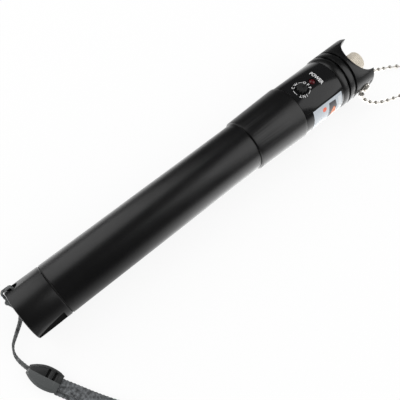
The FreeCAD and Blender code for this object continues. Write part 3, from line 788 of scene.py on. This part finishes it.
def build_hitch(cord_yarn, knot):
    """Two turns of thin cord through the hole and over the rim, and a small knot."""
    middle_r = (HITCH_LOW + HITCH_HIGH) / 2
    corners = [(HITCH_AHEAD, HITCH_LOW, True), (HITCH_AHEAD, HITCH_HIGH, False),
               (HITCH_BACK, HITCH_HIGH, True), (HITCH_BACK, HITCH_LOW, False)]
    for number, beside in enumerate((-0.5, 0.5)):
        round_line = [(HITCH_START, HITCH_LOW)]
        for x, radius, along_first in corners:
            way_x = math.copysign(HITCH_BEND_R, x - HITCH_START)
            way_r = math.copysign(HITCH_BEND_R, radius - middle_r)
            for step in range(7):
                share = math.radians(15 * step)
                out_x, out_r = math.cos(share), math.sin(share)
                if along_first:
                    out_x, out_r = out_r, out_x
                round_line.append((x - way_x + out_x * way_x, radius - way_r + out_r * way_r))
        round_line.append((HITCH_STOP, HITCH_LOW))
        loop = [on_round(x, radius, HITCH_ANGLE + math.degrees(beside / radius))
                for x, radius in round_line]
        bm = bmesh.new()
        sweep(bm, spaced(loop, 90), CORD_CORNERS, yarn_section)
        strand = finish_mesh(bm, "hitch_turn_%d" % (number + 1), cord_yarn, 60)
        if number:
            put(strand, "tail_end", "cord_grey")
        else:
            put(strand, "tail_end", "cord_grey", "lanyard_hitch")
    bm = bmesh.new()
    bmesh.ops.create_uvsphere(bm, u_segments=16, v_segments=10, radius=KNOT_R * MM,
                              matrix=Matrix.Translation(knot))
    put(finish_mesh(bm, "hitch_knot", cord_yarn, 60), "tail_end", "cord_grey")


def paint_clip_shade(clip, clip_painted_shade):
    """Parts the clip along its ridge; the upper half of the slotted, steeper side gets painted
    shade, a darker copy of the clip's grey.
    """
    low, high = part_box("lanyard_clip")
    middle = (low + high) / 2
    heading = math.radians(CLIP_HEADING)
    across = Vector((-math.sin(heading), math.cos(heading), 0))
    ridge = middle - across * CLIP_RIDGE_OFF * MM
    bm = bmesh.new()
    bm.from_mesh(clip.data)
    bmesh.ops.bisect_plane(bm, geom=bm.verts[:] + bm.edges[:] + bm.faces[:],
                           plane_co=ridge, plane_no=across)
    bm.to_mesh(clip.data)
    bm.free()
    clip.data.materials.append(clip_painted_shade)
    # painted shade: faces above the middle on the slotted side take the darker copy of the grey
    for face in clip.data.polygons:
        if (face.center - ridge).dot(across) > 0 and face.center.z > middle.z:
            face.material_index = 1


def build_lanyard(cord_yarn, strap_yarn, clip_grey, clip_painted_shade):
    knot = on_round(-1.1, tube_r - 4.2, HITCH_ANGLE)
    clip = dressed("lanyard_clip", clip_grey, 0.35)
    paint_clip_shade(clip, clip_painted_shade)
    put(clip, "tail_end", "clip_grey", "lanyard_clip")
    build_hitch(cord_yarn, knot)
    route = [knot] + from_tail(PAIR_ROUTE)
    for name, way in (("cord_strand_1", 1), ("cord_strand_2", -1)):
        twisted = []
        for index, (point, twist) in enumerate(zip(route, PAIR_TWIST)):
            ahead = route[min(index + 1, len(route) - 1)] - route[max(index - 1, 0)]
            side = ahead.cross(Vector((0, 0, 1))).normalized()
            lift = side.cross(ahead).normalized()
            turn = math.radians(twist)
            away = side * math.cos(turn) + lift * math.sin(turn)
            twisted.append(point + away * way * STRAND_R * MM)
        line, length = spline_line(twisted)
        bm = bmesh.new()
        sweep(bm, spaced(line, 160), CORD_CORNERS, yarn_section)
        strand = finish_mesh(bm, name, cord_yarn, 60)
        put(strand, "tail_end", "cord_grey", "lanyard_cord")

    points = from_tail(STRAP_ROUTE)
    line, length = spline_line(points)
    bm = bmesh.new()
    sweep(bm, spaced(line, 540), COARSE, strap_section, level=True)
    strap = finish_mesh(bm, "wrist_strap", strap_yarn, 60)
    put(strap, "tail_end", "strap_grey", "lanyard_strap")


def yarn_section(distance, corner):
    """Round cord with three twisted yarns standing proud."""
    turn = 2 * math.pi * corner / CORD_CORNERS
    radius = STRAND_R + 0.05 * math.cos(4 * distance + 3 * turn)
    return radius * math.cos(turn), radius * math.sin(turn)


def strap_section(distance, corner):
    """Flat braid: rounded edges, scalloped by the yarns, and chevrons across the face."""
    turn = 2 * math.pi * corner / COARSE
    flat = math.cos(turn)
    stitch = distance / STRAP_STITCH
    scallop = 1 + 0.0384 * math.cos(2 * math.pi * stitch) * abs(flat)
    beside = STRAP_HALF_W * math.copysign(abs(flat) ** 0.7, flat) * scallop
    rise = math.copysign(abs(math.sin(turn)) ** 0.6, math.sin(turn))
    weave = math.cos(2 * math.pi * (stitch + abs(beside) / 1.5))
    return beside, rise * (0.42 + 0.14 * weave)


# ---- printed film and label ----

def printed(name, bm, material):
    return put(finish_mesh(bm, name, material), "root", "black_film")


def letters(name, word, height, material, place_flat, weight=0.02, length=None):
    """Raised lettering of the given height and length, bent onto the film by place_flat."""
    data = bpy.data.curves.new(name, "FONT")
    data.body = word
    data.size = 1.4 * height
    data.align_x = "CENTER"
    data.extrude = 0.015
    data.offset = weight
    data.resolution_u = 4
    source = bpy.data.objects.new(name, data)
    bpy.context.scene.collection.objects.link(source)
    bpy.context.view_layer.update()
    mesh = bpy.data.meshes.new_from_object(source)
    bm = bmesh.new()
    bm.from_mesh(mesh)
    bpy.data.objects.remove(source)
    bpy.data.meshes.remove(mesh)
    low = min(vertex.co.y for vertex in bm.verts)
    high = max(vertex.co.y for vertex in bm.verts)
    wide = max(abs(vertex.co.x) for vertex in bm.verts)
    stretch = length / 2 / wide if length else 1.0
    for vertex in bm.verts:
        u, v, w = vertex.co
        vertex.co = place_flat(u * stretch, (v - (low + high) / 2) * height / (high - low), w)
    return printed(name, bm, material)


PROUD = 0.02               # how far print stands off the film
DIAL_R = 3.95
DIAL_LETTERS = (("C", -126), ("W", -89), ("O", -26), ("F", 2), ("F", 27), ("I", 94), ("N", 117),
                ("T", 141))
DIAL_ARCS = ((-69, -42), (45, 77), (167, 207))
DIAL_ARC_HALF_W = 0.11
POWER_AHEAD, POWER_ANGLE = 10.1, -1.2   # the word's place, from the knob
LABEL_PROUD = 0.13         # how far print on the side label stands off the film


def round_knob(angle):
    """Places flat lettering outwards round the knob; angle 0 faces the head."""
    def place(u, v, w):
        turn = math.radians(angle) + u / DIAL_R
        beside = (DIAL_R + v) * math.sin(turn)
        return on_round(knob_x + (DIAL_R + v) * math.cos(turn), film_r + PROUD + w,
                        math.degrees(beside / film_r))
    return place


def build_legend(white_ink):
    def power_place(u, v, w):
        return on_round(knob_x + POWER_AHEAD + v, film_r + PROUD + w,
                        POWER_ANGLE + math.degrees(u / film_r))
    letters("power_word", "POWER", 1.85, white_ink, power_place, 0.05, 8.4)
    for number, (letter, angle) in enumerate(DIAL_LETTERS):
        letters("dial_letter_%d" % (number + 1), letter, 1.35, white_ink, round_knob(angle))
    for number, (start, stop) in enumerate(DIAL_ARCS):
        bm = bmesh.new()
        corner = [bm.verts.new((DIAL_R - DIAL_ARC_HALF_W, 0, 0)),
                  bm.verts.new((DIAL_R + DIAL_ARC_HALF_W, 0, 0))]
        edge = bm.edges.new(corner)
        bmesh.ops.spin(bm, geom=corner + [edge], cent=(0, 0, 0), axis=(0, 0, 1), dvec=(0, 0, 0),
                       angle=math.radians(stop - start), steps=10, use_merge=False,
                       use_normal_flip=False, use_duplicate=False)
        bmesh.ops.rotate(bm, verts=bm.verts, cent=(0, 0, 0),
                         matrix=Matrix.Rotation(math.radians(start), 3, "Z"))
        bmesh.ops.solidify(bm, geom=bm.faces[:], thickness=0.03)
        for vertex in bm.verts:
            x, beside, w = vertex.co
            vertex.co = on_round(knob_x + x, film_r + PROUD + w, math.degrees(beside / film_r))
        printed("dial_arc_%d" % (number + 1), bm, white_ink)


def label_patch(name, outline, material, lift=0.0):
    """A printed field on the side label: corners as (mm from the tail, degrees from the knob)."""
    bm = bmesh.new()
    corners = [bm.verts.new((math.radians(angle) * film_r, x, 0)) for x, angle in outline]
    bm.faces.new(corners)
    low = min(angle for x, angle in outline)
    high = max(angle for x, angle in outline)
    cuts = math.ceil((high - low) / 2)
    for cut in range(1, cuts):
        u = math.radians(low + (high - low) * cut / cuts) * film_r
        bmesh.ops.bisect_plane(bm, geom=bm.verts[:] + bm.edges[:] + bm.faces[:],
                               plane_co=(u, 0, 0), plane_no=(1, 0, 0))
    bmesh.ops.solidify(bm, geom=bm.faces[:], thickness=0.02)
    for vertex in bm.verts:
        u, v, w = vertex.co
        vertex.co = on_round(v, film_r + LABEL_PROUD + lift + w, math.degrees(u / film_r))
    return put(finish_mesh(bm, name, material), "root", "pale_label")


def disc_outline(x, angle, radius, count=24):
    wide = math.degrees(radius / film_r)
    return [(x + radius * math.sin(2 * math.pi * step / count),
             angle + wide * math.cos(2 * math.pi * step / count)) for step in range(count)]


def build_label(pale, red_ink, grey_ink, flame_ink, strip_ink, seam_black):
    put(dressed("side_label", pale, 0.0), "root", "pale_label", "side_label")
    label_patch("label_spot", disc_outline(160.3, 66.0, 1.2), red_ink)
    label_patch("label_block", [(163.5, 59.4), (167.7, 60.6), (168.3, 79.0), (165.8, 99.6),
                                (163.1, 99.0), (163.2, 79.0)], grey_ink)
    label_patch("label_flame", [(166.3, 73.5), (167.4, 80.0), (168.1, 95.0), (164.2, 97.0),
                                (165.2, 80.0)], flame_ink, 0.02)
    label_patch("label_strip", [(169.3, 58.5), (171.4, 59.0), (171.4, 122.0), (169.3, 122.0)],
                strip_ink)
    label_patch("film_seam", [(149.9, 48.9), (173.3, 49.4), (173.3, 51.4), (149.9, 50.9)],
                seam_black, -0.12)


# ---- the whole tool ----

def main():
    make_camera()
    make_stage()
    black = anodised_black()
    film = glossy_film()
    steel = nickel("bright_nickel", (0.72, 0.69, 0.64), 0.26, 0.8)
    warm_nickel = nickel("warm_nickel", (0.80, 0.74, 0.64), 0.3)
    cream_nickel = knurled("cream_nickel", (0.92, 0.84, 0.71), 0.4, 0.2)
    dark_steel = nickel("dark_steel", (0.30, 0.29, 0.28), 0.25)
    brass = nickel("turned_brass", (0.72, 0.55, 0.28), 0.3)
    aluminium = nickel("bare_aluminium", (0.6, 0.6, 0.61), 0.35)
    # painted shade for the tail's grip flat: the black with its reflection taken away
    grip_flat_painted_shade = moulded("grip_flat_painted_shade", (0.009, 0.009, 0.009), 0.8)
    grip_flat_painted_shade.node_tree.nodes["Principled BSDF"].inputs["Specular IOR Level"].default_value = 0.0
    rubber = moulded("seal_rubber", (0.02, 0.02, 0.02), 0.6)
    plastic = moulded("black_plastic", (0.03, 0.03, 0.03), 0.45)
    knob_black = moulded("knob_black", (0.018, 0.018, 0.018), 0.4)
    jacket = moulded("cell_jacket", (0.05, 0.06, 0.07), 0.3)
    board = moulded("solder_mask", (0.02, 0.16, 0.07), 0.3)
    lamp_red = finish("lamp_red", (0.07, 0.004, 0.007), 0.0, 0.2, Coat_Weight=0.3)
    ceramic = moulded("white_ceramic", (0.85, 0.85, 0.82), 0.25)
    glass = finish("coated_glass", (0.9, 0.92, 0.95), 0.0, 0.05, Transmission_Weight=1.0)
    white_ink = moulded("white_ink", (0.66, 0.66, 0.66), 0.4)
    red_ink = moulded("red_ink", (0.80, 0.14, 0.07), 0.4)
    grey_ink = moulded("grey_ink", (0.05, 0.045, 0.05), 0.4)
    strip_ink = moulded("strip_ink", (0.60, 0.62, 0.64), 0.3)
    seam_black = moulded("seam_black", (0.002, 0.002, 0.002), 0.9)
    flame_ink = moulded("flame_ink", (0.72, 0.20, 0.07), 0.4)
    pale = moulded("pale_label", (0.47, 0.51, 0.55), 0.3)
    cord_yarn = braided("cord_yarn", (0.10, 0.105, 0.105), 2.0, 2.0)
    strap_yarn = braided("strap_yarn", (0.09, 0.095, 0.10), 2.0, 8.0)
    clip_grey = moulded("clip_grey", (0.075, 0.08, 0.08), 0.35)
    # painted shade for the clip's slotted side: a darker copy of the clip's grey
    clip_painted_shade = moulded("clip_painted_shade", (0.016, 0.017, 0.017), 0.4)

    build_tail(black, grip_flat_painted_shade, rubber, brass, steel)
    build_tube(black, jacket, brass, plastic)
    build_head(black, film, plastic, knob_black, lamp_red, board, aluminium, brass, glass)
    build_crown(black, steel, warm_nickel, ceramic, dark_steel)
    build_dust_cap(cream_nickel, steel)
    build_chain(steel)
    build_lanyard(cord_yarn, strap_yarn, clip_grey, clip_painted_shade)
    build_legend(white_ink)
    build_label(pale, red_ink, grey_ink, flame_ink, strip_ink, seam_black)


main()
